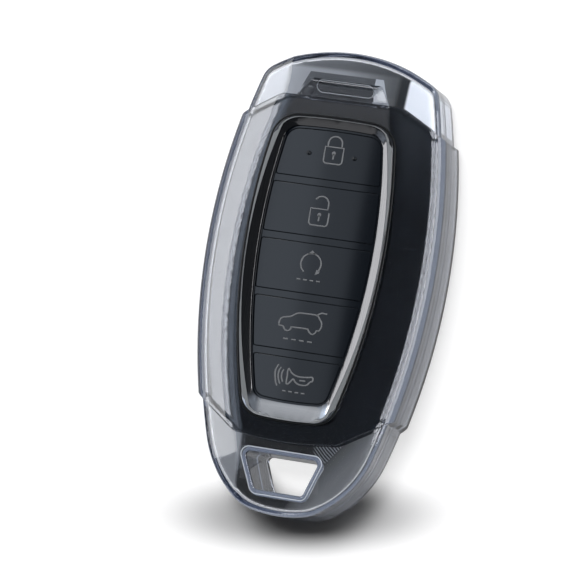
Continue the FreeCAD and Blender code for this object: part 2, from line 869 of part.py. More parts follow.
def antenna_coil():
    """Ferrite block with a wound waist."""
    x, y = board_spot(coil_place_shares)
    coil = under_board((x, y), coil_side, coil_side, coil_height)
    low_z = board_z - coil_height + coil_flange
    high_z = board_z - coil_flange
    core = coil_side / 2 - coil_waist
    ring = block(coil_side, y - coil_side, y + coil_side, low_z, high_z, x)
    return coil.cut(ring.cut(block(core, y - core, y + core, low_z, high_z, x)))


def status_led():
    x, y = board_spot(led_place_shares)
    top_z = board_top_z + led_height
    return block(led_width / 2, y - led_length / 2, y + led_length / 2, board_top_z, top_z, x)


def passive_parts():
    """Row of small two-ended parts under the board, one solid each."""
    first_y = (boss_y + post_y + (passive_count - 1) * passive_pitch) / 2
    row = []
    for index in range(passive_count):
        y = first_y - index * passive_pitch
        row.append(block(passive_length / 2, y - passive_width / 2, y + passive_width / 2,
                         board_z - passive_height, board_z, passive_x))
    return Part.makeCompound(row)


# Coin cell

def coin_cell():
    cell = Part.makeCylinder(cell_radius, cell_height, Vector(0, cell_y, cell_z))
    rims = [e for e in cell.Edges if isinstance(e.Curve, Part.Circle)]
    return cell.makeFillet(cell_rim, rims)


def battery_tray():
    """Ring that keeps the cell in place, slotted for the clip on both sides."""
    height = board_z - cell_z
    tray = Part.makeCylinder(tray_radius, height, Vector(0, cell_y, cell_z))
    tray = tray.cut(Part.makeCylinder(cell_radius + tray_gap, height, Vector(0, cell_y, cell_z)))
    half = clip_width / 2 + clip_slot_gap
    return tray.cut(block(cover_width, cell_y - half, cell_y + half, cell_z, board_z))


def battery_contact_positive():
    """Clip of two legs that reach under the edge of the cell."""
    legs = []
    low_y = cell_y - clip_width / 2
    high_y = cell_y + clip_width / 2
    foot_z = cell_z - clip_thickness
    for side in (-1, 1):
        inner = cell_radius + tray_gap
        leg_x = side * (inner + clip_thickness / 2)
        leg = block(clip_thickness / 2, low_y, high_y, foot_z, board_z, leg_x)
        foot_x = side * (inner + clip_thickness - (clip_foot + clip_thickness) / 2)
        leg = leg.fuse(block((clip_foot + clip_thickness) / 2, low_y, high_y, foot_z, cell_z, foot_x))
        tab_x = side * (inner + (clip_tab + clip_thickness) / 2)
        tab_z = board_z - clip_thickness
        leg = leg.fuse(block((clip_tab + clip_thickness) / 2, low_y, high_y, tab_z, board_z, tab_x))
        legs.append(leg.removeSplitter())
    return Part.makeCompound(legs)


def battery_contact_negative():
    """Bent spring strip between the board and the cell."""
    cell_top = cell_z + cell_height
    fall = board_z - cell_top
    outline = [
        (cell_y - contact_reach, board_z), (cell_y - contact_reach / 2, board_z),
        (cell_y - contact_reach / 2 + fall, cell_top + contact_thickness),
        (cell_y + contact_reach / 2, cell_top + contact_thickness),
        (cell_y + contact_reach / 2, cell_top),
        (cell_y - contact_reach / 2 + fall - contact_thickness, cell_top),
        (cell_y - contact_reach / 2 - contact_thickness, board_z - contact_thickness),
        (cell_y - contact_reach, board_z - contact_thickness),
    ]
    return side_prism(outline, contact_width / 2)


def all_pieces():
    """Every piece by name, in its place."""
    outer = cover_outer()
    hollow = cover_hollow()
    body = fob_body()
    room = fob_room()
    pieces = {
        "cover_front_shell": cover_front_shell(outer, hollow),
        "cover_rear_shell": cover_rear_shell(outer, hollow),
        "window_trim_ring": window_trim_ring(),
        "fob_front_housing": fob_front_housing(body, room),
        "fob_rear_housing": fob_rear_housing(body, room),
        "housing_seal": housing_seal(),
        "fob_top_cap": fob_top_cap(body),
        "emergency_key_head": emergency_key_head(body),
        "emergency_key_blade": emergency_key_blade(),
        "keypad_frame": keypad_frame(),
        "keypad_mat": keypad_mat(),
        "circuit_board": circuit_board(),
        "board_screws": board_screws(),
        "control_chip": under_board(chip_spot, chip_side, chip_side, chip_height),
        "radio_chip": under_board(radio_spot, radio_side, radio_side, radio_height),
        "timing_crystal": under_board(board_spot(crystal_place_shares), crystal_length, crystal_width,
                                      crystal_height),
        "antenna_coil": antenna_coil(),
        "status_led": status_led(),
        "passive_parts": passive_parts(),
        "coin_cell": coin_cell(),
        "battery_tray": battery_tray(),
        "battery_contact_positive": battery_contact_positive(),
        "battery_contact_negative": battery_contact_negative(),
    }
    for index, name in enumerate(key_names):
        pieces["key_" + name] = key_cap(index)
        pieces["plunger_" + name] = switch_plunger(index)
        pieces["switch_" + name] = push_switch(index)
    return pieces


os.makedirs("parts", exist_ok=True)
for piece_name, shape in all_pieces().items():
    shape.exportStep("parts/" + piece_name + ".step")
    print(piece_name, "solids", len(shape.Solids), "valid", shape.isValid(), "volume", round(shape.Volume, 1))
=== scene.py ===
import math

import bmesh
import bpy
from mathutils import Matrix, Vector


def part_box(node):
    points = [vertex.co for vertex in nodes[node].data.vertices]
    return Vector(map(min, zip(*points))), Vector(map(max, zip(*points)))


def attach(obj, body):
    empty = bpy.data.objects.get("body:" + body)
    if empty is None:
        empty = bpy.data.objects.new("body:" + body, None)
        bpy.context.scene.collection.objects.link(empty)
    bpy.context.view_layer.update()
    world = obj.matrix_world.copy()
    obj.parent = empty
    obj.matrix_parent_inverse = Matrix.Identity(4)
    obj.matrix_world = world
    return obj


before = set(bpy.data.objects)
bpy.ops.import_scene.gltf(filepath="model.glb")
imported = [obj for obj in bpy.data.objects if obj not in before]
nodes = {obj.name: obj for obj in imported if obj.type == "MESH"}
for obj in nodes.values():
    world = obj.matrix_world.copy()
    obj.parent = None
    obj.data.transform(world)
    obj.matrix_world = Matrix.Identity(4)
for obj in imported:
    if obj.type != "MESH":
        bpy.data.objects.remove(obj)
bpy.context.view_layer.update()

scene = bpy.context.scene
mm = 0.001
weldReach = 1e-6  # CAD triangles are loose; corners closer than this are one
aboveAll = 0.1  # metres, higher than the whole part
halfCount = 0.5  # ray depths are whole numbers and are compared half-way between them


# small helpers for node trees

def link(tree, source, target):
    tree.links.new(source, target)


def feed(tree, socket, value):
    # a link, a number or a colour
    if isinstance(value, bpy.types.NodeSocket):
        link(tree, value, socket)
    elif isinstance(value, (int, float)):
        socket.default_value = value
    else:
        socket.default_value = (*value, 1)


def addNode(tree, kind, place=(0, 0), **settings):
    node = tree.nodes.new(kind)
    node.location = place
    for key, value in settings.items():
        setattr(node, key, value)
    return node


def math2(tree, operation, first, second, place=(0, 0)):
    node = addNode(tree, "ShaderNodeMath", place, operation=operation)
    feed(tree, node.inputs[0], first)
    feed(tree, node.inputs[1], second)
    return node.outputs[0]


def vector2(tree, operation, first, second=None, place=(0, 0)):
    node = addNode(tree, "ShaderNodeVectorMath", place, operation=operation)
    link(tree, first, node.inputs[0])
    if isinstance(second, bpy.types.NodeSocket):
        link(tree, second, node.inputs[1])
    elif second is not None:
        node.inputs[1].default_value = second
    return node.outputs["Value" if operation == "LENGTH" else "Vector"]


def mapRange(tree, value, fromSpan, toSpan, place=(0, 0), smooth=False):
    node = addNode(tree, "ShaderNodeMapRange", place, interpolation_type="SMOOTHSTEP" if smooth else "LINEAR")
    for label, number in zip(("From Min", "From Max", "To Min", "To Max"), (*fromSpan, *toSpan)):
        node.inputs[label].default_value = number
    link(tree, value, node.inputs["Value"])
    return node.outputs["Result"]


def mixTwo(tree, factor, first, second, place=(0, 0), kind="RGBA", blend="MIX"):
    node = addNode(tree, "ShaderNodeMix", place, data_type=kind, blend_type=blend)
    for label, value in (("Factor", factor), ("A", first), ("B", second)):
        feed(tree, node.inputs[label], value)
    return node.outputs["Result"]


def addNoise(tree, vector, scale, detail, place=(0, 0)):
    noise = addNode(tree, "ShaderNodeTexNoise", place)
    link(tree, vector, noise.inputs["Vector"])
    feed(tree, noise.inputs["Scale"], scale)
    noise.inputs["Detail"].default_value = detail
    return noise.outputs["Fac"]


def splitVector(tree, vector, place=(0, 0)):
    split = addNode(tree, "ShaderNodeSeparateXYZ", place)
    link(tree, vector, split.inputs["Vector"])
    return split.outputs


def objectPlace(tree, place=(0, 0)):
    return addNode(tree, "ShaderNodeTexCoord", place).outputs["Object"]


# finishes that several materials share; each gives a colour, a roughness and a height for bump

def newFinish(name, ownInputs):
    # inputs: (name, socket type, default)
    tree = bpy.data.node_groups.new(name, "ShaderNodeTree")
    inputs = ownInputs + [
        ("Colour A", "NodeSocketColor", (0.1, 0.1, 0.1, 1)),
        ("Colour B", "NodeSocketColor", (0.12, 0.12, 0.12, 1)),
        ("Roughness", "NodeSocketFloat", 0.4),
        ("Roughness Spread", "NodeSocketFloat", 0.1),
    ]
    for label, kind, default in inputs:
        socket = tree.interface.new_socket(name=label, in_out="INPUT", socket_type=kind)
        socket.default_value = default
    for label, kind in (("Colour", "Color"), ("Roughness", "Float"), ("Height", "Float")):
        tree.interface.new_socket(name=label, in_out="OUTPUT", socket_type="NodeSocket" + kind)
    return tree, addNode(tree, "NodeGroupInput", (-900, 0)).outputs


def endFinish(tree, start, tone, detail):
    # tone mixes the two colours, detail moves the roughness and is the height
    end = addNode(tree, "NodeGroupOutput", (500, 0)).inputs
    swing = math2(tree, "SUBTRACT", detail, 0.5, (-300, -100))  # noise swings about a half
    swing = math2(tree, "MULTIPLY", swing, start["Roughness Spread"], (-100, -100))
    link(tree, mixTwo(tree, tone, start["Colour A"], start["Colour B"], (-200, 200)), end["Colour"])
    link(tree, math2(tree, "ADD", swing, start["Roughness"], (100, -100)), end["Roughness"])
    link(tree, detail, end["Height"])
    return tree


# fine moulded grain
def makeGrainGroup():
    tree, start = newFinish("mouldedGrain", [("Scale", "NodeSocketFloat", 900.0)])
    spot = objectPlace(tree, (-1100, -200))
    fine = addNoise(tree, spot, start["Scale"], detail=4, place=(-600, 100))
    broad = addNoise(tree, spot, scale=60, detail=3, place=(-600, -200))
    return endFinish(tree, start, broad, fine)


# brushed metal: noise drawn out along one direction of the piece
def makeBrushGroup():
    tree, start = newFinish("brushedLines", [
        ("Stretch", "NodeSocketVector", (40.0, 4000.0, 4000.0)),
        ("Turn", "NodeSocketVector", (0.0, 0.0, 0.0)),
    ])
    turned = addNode(tree, "ShaderNodeMapping", (-800, -200))
    link(tree, objectPlace(tree, (-1200, -200)), turned.inputs["Vector"])
    link(tree, start["Turn"], turned.inputs["Rotation"])
    drawn = vector2(tree, "MULTIPLY", turned.outputs["Vector"], start["Stretch"], (-600, -200))
    lines = addNoise(tree, drawn, scale=1.0, detail=3, place=(-400, -100))
    return endFinish(tree, start, lines, lines)


grainGroup = makeGrainGroup()
brushGroup = makeBrushGroup()


def newMaterial(name):
    material = bpy.data.materials.new(name)
    material.use_nodes = True
    tree = material.node_tree
    return material, tree, tree.nodes["Principled BSDF"]


def addBump(tree, shader, height, strength, distance):
    bump = addNode(tree, "ShaderNodeBump", (-200, -300))
    bump.inputs["Strength"].default_value = strength
    bump.inputs["Distance"].default_value = distance
    link(tree, height, bump.inputs["Height"])
    link(tree, bump.outputs["Normal"], shader.inputs["Normal"])


def placeFinish(tree, shader, group, look, ownValues):
    node = addNode(tree, "ShaderNodeGroup", (-500, 0), node_tree=group)
    values = {**ownValues, "Colour A": (*look["colourA"], 1), "Colour B": (*look["colourB"], 1),
              "Roughness": look["roughness"], "Roughness Spread": look["roughSpread"]}
    for label, value in values.items():
        node.inputs[label].default_value = value
    link(tree, node.outputs["Colour"], shader.inputs["Base Color"])
    link(tree, node.outputs["Roughness"], shader.inputs["Roughness"])
    if "bump" in look:
        addBump(tree, shader, node.outputs["Height"], look["bump"], look["bumpDepth"])


def grainMaterial(name, look):
    material, tree, shader = newMaterial(name)
    placeFinish(tree, shader, grainGroup, look, {"Scale": look["grainScale"]})
    if "coat" in look:
        shader.inputs["Coat Weight"].default_value = look["coat"]
        shader.inputs["Coat Roughness"].default_value = look["coatRough"]
    shader.inputs["IOR"].default_value = look.get("ior", 1.48)
    return material


def brushMaterial(name, look):
    material, tree, shader = newMaterial(name)
    placeFinish(tree, shader, brushGroup, look, {"Stretch": look["stretch"], "Turn": look["turn"]})
    shader.inputs["Metallic"].default_value = look["metallic"]
    shader.inputs["IOR"].default_value = look.get("ior", 1.5)
    return material


def dress(node, material):
    mesh = nodes[node].data
    mesh.materials.clear()
    mesh.materials.append(material)


print("finishes ready")

# clear cover

clearLook = {"tint": (0.97, 0.975, 0.985), "ior": 1.52, "roughness": (0.01, 0.03),
             "waveScale": 55.0, "wave": 0.01, "waveDepth": 0.0004,
             "smoke": (0.5, 0.55, 0.66), "smokeDensity": 150.0,
             "caughtGlow": (0.3, 0.325, 0.37), "caughtDepth": 8}


def makeClear(look):
    material, tree, shader = newMaterial("clearMoulding")
    wave = addNoise(tree, objectPlace(tree, (-900, 0)), look["waveScale"], detail=1, place=(-700, 0))
    link(tree, mapRange(tree, wave, (0, 1), look["roughness"], (-450, 100)), shader.inputs["Roughness"])
    addBump(tree, shader, wave, look["wave"], look["waveDepth"])
    shader.inputs["Base Color"].default_value = (*look["tint"], 1)
    shader.inputs["Transmission Weight"].default_value = 1
    shader.inputs["IOR"].default_value = look["ior"]
    smoke = addNode(tree, "ShaderNodeVolumeAbsorption", (100, -400))
    smoke.inputs["Color"].default_value = (*look["smoke"], 1)
    smoke.inputs["Density"].default_value = look["smokeDensity"]
    link(tree, smoke.outputs["Volume"], tree.nodes["Material Output"].inputs["Volume"])
    # painted glow: light that has bounced this often between the walls is given a soft grey glow instead
    rays = addNode(tree, "ShaderNodeLightPath", (-300, -600))
    caughtGlow = math2(tree, "COMPARE", rays.outputs["Ray Depth"], look["caughtDepth"], (-100, -600))
    caughtGlow.node.inputs[2].default_value = halfCount
    shader.inputs["Emission Color"].default_value = (*look["caughtGlow"], 1)
    link(tree, caughtGlow, shader.inputs["Emission Strength"])
    return material


clearMoulding = makeClear(clearLook)
for node in ("cover_front_shell", "cover_rear_shell"):
    dress(node, clearMoulding)
print("clear cover dressed")

# silver ring in the window, with painted highlights on its low segment and flat rim: edge in mm, low segment
# by y in mm, flat rim by how far a face looks up

ringLook = {"fineness": 9000.0, "along": 60.0, "colourA": (0.07, 0.07, 0.073), "colourB": (0.2, 0.2, 0.208),
            "roughness": (0.1, 0.18), "lowHighlight": (0.93, 0.95, 0.99), "lowFade": (-24.5, -22.5),
            "rimHighlight": (0.17, 0.18, 0.19), "rimFade": (0.993, 0.998),
            "edge": 0.09, "edgeSteps": 2, "edgeAngle": 25}


def makeRing(look):
    # the turning marks keep their distance from the ring's sides
    low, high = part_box("window_trim_ring")
    middle, half = (low + high) / 2, (high - low) / 2
    material, tree, shader = newMaterial("satinSilver")
    spot = objectPlace(tree, (-1500, 0))
    off = vector2(tree, "SUBTRACT", spot, middle, (-1350, 0))
    away = splitVector(tree, vector2(tree, "ABSOLUTE", off, None, (-1200, 0)), (-1050, 0))
    inwards = math2(tree, "MAXIMUM", math2(tree, "SUBTRACT", away["X"], half.x, (-900, 100)),
                    math2(tree, "SUBTRACT", away["Y"], half.y, (-900, -100)), (-750, 0))
    along = math2(tree, "ADD", away["X"], away["Y"], (-750, -200))
    marks = addNode(tree, "ShaderNodeCombineXYZ", (-450, 0))
    link(tree, math2(tree, "MULTIPLY", inwards, look["fineness"], (-600, 100)), marks.inputs["X"])
    link(tree, math2(tree, "MULTIPLY", along, look["along"], (-600, -100)), marks.inputs["Y"])
    lines = addNoise(tree, marks.outputs["Vector"], scale=1.0, detail=2, place=(-300, 0))
    colour = mixTwo(tree, lines, look["colourA"], look["colourB"], (-100, 200))
    # painted highlight: the low segment catches only soft light, so it is given a near-white colour
    length = splitVector(tree, spot, (-1050, 400))["Y"]
    lowHighlightMask = mapRange(tree, length, [y * mm for y in look["lowFade"]], (1, 0), (-300, 400), smooth=True)
    colour = mixTwo(tree, lowHighlightMask, colour, look["lowHighlight"], (100, 300))
    # painted highlight: the narrow flat rim is a non-metal grey, so that it shows as a fine pale line all
    # round
    facing = addNode(tree, "ShaderNodeNewGeometry", (-750, 700)).outputs["Normal"]
    upward = splitVector(tree, facing, (-550, 700))["Z"]
    rim = mapRange(tree, upward, look["rimFade"], (0, 1), (-300, 700), smooth=True)
    colour = mixTwo(tree, rim, colour, look["rimHighlight"], (300, 400))
    link(tree, colour, shader.inputs["Base Color"])
    link(tree, math2(tree, "SUBTRACT", 1.0, rim, (100, 600)), shader.inputs["Metallic"])
    link(tree, mapRange(tree, lines, (0, 1), look["roughness"], (-100, -100)), shader.inputs["Roughness"])
    return material


def softenEdges(node, look):
    # welded first, because the edges of loose triangles can't be broken
    weld = nodes[node].modifiers.new("weld", "WELD")
    weld.merge_threshold = weldReach
    bevel = nodes[node].modifiers.new("brokenEdges", "BEVEL")
    bevel.width = look["edge"] * mm
    bevel.segments = look["edgeSteps"]
    bevel.limit_method = "ANGLE"
    bevel.angle_limit = math.radians(look["edgeAngle"])
    weigh = nodes[node].modifiers.new("plainFaces", "WEIGHTED_NORMAL")
    weigh.weight = 100  # only the large faces count


dress("window_trim_ring", makeRing(ringLook))
softenEdges("window_trim_ring", ringLook)
print("window ring dressed")

# black fob housing and its metal-look ends

housingLook = {"grainScale": 1400.0, "colourA": (0.003, 0.004, 0.006), "colourB": (0.005, 0.007, 0.01),
               "roughness": 0.12, "roughSpread": 0.01, "coat": 0.4, "coatRough": 0.06, "ior": 1.9}
pianoBlack = grainMaterial("pianoBlack", housingLook)
for node in ("fob_front_housing", "fob_rear_housing"):
    dress(node, pianoBlack)

# ends of the fob, with painted light and shade: light-shade stops are (x in mm, grey), leaning edges are (x,
# y of one point in mm, x per y)
endLook = {"stretch": (300.0, 6000.0, 6000.0), "turn": (0, 0, math.radians(28)),
           "colourA": (0.8, 0.83, 0.88), "colourB": (0.9, 0.93, 0.97), "roughness": 0.24, "roughSpread": 0.08,
           "metallic": 0.0, "bump": 0.02, "bumpDepth": 0.00003, "ior": 1.3}
coolGrey = (0.95, 1.0, 1.08)
topLook = {"lightShadeStops": ((-12.4, 0.58), (-12.0, 0.42), (-8.0, 0.38), (0.0, 0.32), (9.8, 0.09), (10.6, 0.015),
                     (11.7, 0.015), (12.1, 1.0)),
           "arc": (40.6, 41.6), "arcHalf": 12.0, "arcShadeGrey": 0.02, "arcShare": 0.65,
           "recessLeft": (-9.08, 35.9, 0.345), "recessRight": (8.56, 36.4, -0.4), "recessTop": 40.2,
           "recessShadeGrey": 0.085, "wallFrom": 5.5, "wallReflectionGrey": 0.45}
lowLook = {"lightShadeStops": ((-9.9, 0.26), (-9.4, 0.03), (-0.4, 0.03), (0.4, 0.08), (4.0, 0.16)), "leftShift": 1.0,
           "rightLeast": -9.0, "lean": (10.3, -30.9, 0.73), "pitch": 0.5, "thin": 0.2, "lines": 0.27,
           "lineColour": (0.5, 0.55, 0.6), "linesFrom": (5.6, 6.4)}


def addPaintedLight(tree, shader, lightShadeStops, position):
    # painted light and shade: a grey that changes along one line of the piece, multiplied over the brushed
    # colour
    first, last = lightShadeStops[0][0] * mm, lightShadeStops[-1][0] * mm
    ramp = addNode(tree, "ShaderNodeValToRGB", (-300, 400))
    while len(ramp.color_ramp.elements) < len(lightShadeStops):
        ramp.color_ramp.elements.new(0.5)
    for element, (x, grey) in zip(ramp.color_ramp.elements, lightShadeStops):
        element.position = (x * mm - first) / (last - first)
        element.color = (grey, grey, grey, 1)
    link(tree, mapRange(tree, position, (first, last), (0, 1), (-500, 400)), ramp.inputs["Fac"])
    colour = shader.inputs["Base Color"].links[0].from_socket
    shade = mixTwo(tree, 1, colour, ramp.outputs["Color"], (0, 300), blend="MULTIPLY")
    link(tree, shade, shader.inputs["Base Color"])


def leaningEdge(tree, spot, line, place):
    fall = math2(tree, "SUBTRACT", spot["Y"], line[1] * mm, place)
    return math2(tree, "ADD", math2(tree, "MULTIPLY", fall, line[2], place), line[0] * mm, place)


def paintLightShadeWhere(tree, shader, masks, grey, place):
    # painted shade and reflection: a plain grey where all masks hold
    mask = masks[0]
    for other in masks[1:]:
        mask = math2(tree, "MULTIPLY", mask, other, place)
    colour = shader.inputs["Base Color"].links[0].from_socket
    shade = mixTwo(tree, mask, colour, [grey * share for share in coolGrey], place)
    link(tree, shade, shader.inputs["Base Color"])


def makeTopCap(look, top):
    # painted light and shade: pale sides, a painted shade on the rolled-over end and in the recess, a painted
    # reflection on the recess's right wall
    material = brushMaterial("smokedSteelPaintedLight", look)
    tree = material.node_tree
    shader = tree.nodes["Principled BSDF"]
    spot = splitVector(tree, objectPlace(tree, (-900, 500)), (-750, 500))
    addPaintedLight(tree, shader, top["lightShadeStops"], spot["X"])
    low = math2(tree, "LESS_THAN", spot["Y"], top["recessTop"] * mm, (-500, 700))
    leftEdge = leaningEdge(tree, spot, top["recessLeft"], (-600, 800))
    rightEdge = leaningEdge(tree, spot, top["recessRight"], (-600, 900))
    left = math2(tree, "GREATER_THAN", spot["X"], leftEdge, (-400, 800))
    right = math2(tree, "LESS_THAN", spot["X"], rightEdge, (-400, 900))
    wall = math2(tree, "GREATER_THAN", spot["X"], top["wallFrom"] * mm, (-400, 1000))
    arc = [y * mm for y in top["arc"]]
    rolled = mapRange(tree, spot["Y"], arc, (0, top["arcShare"]), (-400, 1100), smooth=True)
    aside = math2(tree, "ABSOLUTE", spot["X"], 0.0, (-600, 1200))
    middle = math2(tree, "LESS_THAN", aside, top["arcHalf"] * mm, (-400, 1200))
    # painted shade on the rolled-over end and on the recess floor, painted reflection on the recess's right
    # wall
    paintLightShadeWhere(tree, shader, (rolled, middle), top["arcShadeGrey"], (100, 700))
    paintLightShadeWhere(tree, shader, (low, left, right), top["recessShadeGrey"], (300, 700))
    paintLightShadeWhere(tree, shader, (low, wall, right), top["wallReflectionGrey"], (500, 700))
    return material


def makeKeyHead(look, low):
    # painted light: pale left side and a lighter part past a leaning edge on the right; dark round the hole
    # with fine diagonal lines
    material = brushMaterial("hatchedSteelPaintedLight", look)
    tree = material.node_tree
    shader = tree.nodes["Principled BSDF"]
    spot = splitVector(tree, objectPlace(tree, (-1300, 500)), (-1150, 500))
    right = math2(tree, "GREATER_THAN", spot["X"], 0.0, (-1000, 600))
    lean = math2(tree, "MULTIPLY", leaningEdge(tree, spot, low["lean"], (-850, 450)), right, (-550, 500))
    shift = math2(tree, "MAXIMUM", lean, low["leftShift"] * mm, (-480, 500))
    # the right half never reaches the painted pale light of the left side
    least = math2(tree, "MULTIPLY", right, 1.0 + low["rightLeast"] * mm, (-550, 350))
    least = math2(tree, "SUBTRACT", least, 1.0, (-400, 350))
    edge = math2(tree, "MAXIMUM", math2(tree, "SUBTRACT", spot["X"], shift, (-400, 500)), least, (-250, 450))
    addPaintedLight(tree, shader, low["lightShadeStops"], edge)
    across = math2(tree, "ADD", spot["X"], spot["Y"], (-700, 800))
    turns = math2(tree, "MULTIPLY", across, 2 * math.pi / (low["pitch"] * mm * math.sqrt(2)), (-550, 800))
    wave = math2(tree, "SINE", turns, 0.0, (-400, 800))
    lines = math2(tree, "GREATER_THAN", wave, low["thin"], (-250, 800))
    begin = mapRange(tree, spot["X"], [x * mm for x in low["linesFrom"]], (0, 1), (-400, 950))
    dark = math2(tree, "LESS_THAN", edge, 0.0, (-250, 950))
    mask = math2(tree, "MULTIPLY", lines, math2(tree, "MULTIPLY", begin, dark, (-100, 950)), (50, 900))
    mask = math2(tree, "MULTIPLY", mask, low["lines"], (200, 900))
    colour = shader.inputs["Base Color"].links[0].from_socket
    shade = mixTwo(tree, mask, colour, low["lineColour"], (350, 500), blend="ADD")
    link(tree, shade, shader.inputs["Base Color"])
    return material


dress("fob_top_cap", makeTopCap(endLook, topLook))
dress("emergency_key_head", makeKeyHead(endLook, lowLook))
print("fob housing dressed")

# keypad

padLook = {"grainScale": 2600.0, "colourA": (0.0015, 0.0028, 0.005), "colourB": (0.002, 0.0034, 0.006),
           "roughness": 0.14, "roughSpread": 0.04, "ior": 1.65, "crown": 6.0, "crownMiddle": 18.6}


def crownBump(material, look):
    # the pad's film bows across its width: height falls with the square of the distance from a line
    tree = material.node_tree
    spot = splitVector(tree, objectPlace(tree, (-900, -400)), (-750, -400))
    off = math2(tree, "SUBTRACT", spot["X"], look["crownMiddle"] * mm, (-600, -400))
    square = math2(tree, "MULTIPLY", off, off, (-500, -400))
    fall = math2(tree, "MULTIPLY", square, -look["crown"], (-400, -400))
    addBump(tree, tree.nodes["Principled BSDF"], fall, strength=1.0, distance=1.0)


keyBlack = grainMaterial("keyBlack", padLook)
crownBump(keyBlack, padLook)
dress("keypad_frame", keyBlack)
keyNames = ("lock", "unlock", "start", "tailgate", "horn")
for name in keyNames:
    dress("key_" + name, keyBlack)
print("keypad dressed")

# parts inside the fob

insideLooks = {
    "boardGreen": {"grainScale": 700.0, "colourA": (0.015, 0.1, 0.04), "colourB": (0.03, 0.16, 0.07),
                   "roughness": 0.35, "roughSpread": 0.15, "bump": 0.05, "bumpDepth": 0.00003},
    "chipBlack": {"grainScale": 2600.0, "colourA": (0.02, 0.02, 0.02), "colourB": (0.035, 0.035, 0.035),
                  "roughness": 0.5, "roughSpread": 0.15, "bump": 0.1, "bumpDepth": 0.00003},
    "softGrey": {"grainScale": 1500.0, "colourA": (0.2, 0.2, 0.21), "colourB": (0.26, 0.26, 0.27),
                 "roughness": 0.65, "roughSpread": 0.15, "bump": 0.1, "bumpDepth": 0.00004},
    "ivory": {"grainScale": 2000.0, "colourA": (0.6, 0.57, 0.48), "colourB": (0.7, 0.67, 0.58),
              "roughness": 0.45, "roughSpread": 0.1, "bump": 0.05, "bumpDepth": 0.00003},
    "ledRed": {"grainScale": 900.0, "colourA": (0.5, 0.04, 0.03), "colourB": (0.65, 0.07, 0.05),
               "roughness": 0.15, "roughSpread": 0.05},
}
steelLook = {"stretch": (4000.0, 60.0, 4000.0), "turn": (0, 0, 0),
             "colourA": (0.5, 0.5, 0.51), "colourB": (0.66, 0.66, 0.66), "roughness": 0.3, "roughSpread": 0.2,
             "metallic": 1.0, "bump": 0.06, "bumpDepth": 0.00003}
insideMembers = {
    "boardGreen": ["circuit_board"],
    "chipBlack": (["control_chip", "radio_chip", "antenna_coil", "battery_tray"]
                  + ["switch_" + name for name in keyNames]),
    "softGrey": ["housing_seal", "keypad_mat"],
    "ivory": ["passive_parts"] + ["plunger_" + name for name in keyNames],
    "ledRed": ["status_led"],
    "plainSteel": ["emergency_key_blade", "board_screws", "timing_crystal", "coin_cell",
                   "battery_contact_positive", "battery_contact_negative"],
}
for name, members in insideMembers.items():
    if name in insideLooks:
        material = grainMaterial(name, insideLooks[name])
    else:
        material = brushMaterial(name, steelLook)
    for node in members:
        dress(node, material)
print("inside dressed")

# printed key marks: line drawings swept into thin ink by a node tree; sizes in mm

markLook = {"lineWidth": 0.28, "inkDepth": 0.02, "sunk": 0.004, "grainScale": 3000.0,
            "colourA": (0.13, 0.135, 0.145), "colourB": (0.16, 0.165, 0.175),
            "roughness": 0.5, "roughSpread": 0.1}


def arcPoints(center, radius, startDeg, endDeg, count):
    step = (endDeg - startDeg) / (count - 1)
    turn = [math.radians(startDeg + step * i) for i in range(count)]
    return [(center[0] + radius * math.cos(t), center[1] + radius * math.sin(t)) for t in turn]


def dashes(middle, width, y, count, share=0.28):
    pitch = width / count
    starts = [middle - width / 2 + pitch / 2 + i * pitch for i in range(count)]
    return [[(x - pitch * share, y), (x + pitch * share, y)] for x in starts]


# each drawing: lines (points in mm from the key's middle), filled shapes and steps from point to point
lockBody = ([(-1.85, 1.67), (1.85, 1.67)] + arcPoints((1.25, -0.96), 0.6, 0, -90, 6)
            + arcPoints((-1.25, -0.96), 0.6, -90, -180, 6))
lockBow = [(-1.37, 1.67)] + arcPoints((0, 2.38), 1.37, 180, 0, 18) + [(1.37, 1.67)]
openBody = ([(1.87, 0.85)] + arcPoints((1.27, -1.2), 0.6, 0, -90, 6)
            + arcPoints((-1.27, -1.2), 0.6, -90, -180, 6)
            + [(-1.87, 1.42), (1.5, 1.42)] + arcPoints((0.1, 2.45), 1.4, 0, 150, 18))
carBody = [(-4.05, -1.0), (-4.18, -0.5), (-4.08, 0.0), (-3.83, 0.38), (-3.42, 0.6), (-2.1, 0.92),
           (-1.45, 1.35), (-0.65, 1.75), (0.75, 1.85), (3.0, 1.8), (3.62, 1.2), (4.0, 0.75), (4.2, 0.25),
           (4.2, -0.3), (4.0, -0.85), (3.78, -1.1), (3.42, -1.1), (3.2, -1.55), (2.72, -1.9), (2.15, -1.68),
           (1.75, -1.2), (1.4, -1.02), (-1.45, -1.05), (-1.65, -1.25), (-1.85, -1.65), (-2.25, -1.88),
           (-2.78, -1.75), (-3.2, -1.2), (-3.35, -1.08)]
carGate = [(3.05, 1.85), (3.45, 2.12), (3.95, 2.35), (4.95, 2.28)]
hornBody = [(-1.18, 1.45), (-0.7, 0.87), (-0.07, 0.4), (0.62, 0.2), (1.35, 0.13), (2.47, 0.2), (3.66, 0.36),
            (3.76, -0.38), (3.42, -0.47), (2.86, -1.15), (2.18, -1.36), (1.32, -1.35), (0.63, -1.1),
            (0.24, -0.72), (0.09, -0.47), (-0.18, -0.55), (-0.58, -1.12), (-0.94, -1.52), (-1.25, -1.43),
            (-1.31, -0.9), (-1.3, 0.08), (-1.35, 0.97)]
hornWaves = [[(-3.3, 2.0), (-3.65, 1.2), (-3.78, 0.3), (-3.62, -0.65), (-3.37, -1.45), (-3.0, -2.1)],
             [(-2.75, 1.5), (-3.05, 0.8), (-3.1, 0.0), (-3.0, -0.55), (-2.8, -1.1), (-2.5, -1.65)],
             [(-2.15, 1.15), (-2.4, 0.55), (-2.4, -0.15), (-2.28, -0.68), (-2.0, -1.22)]]
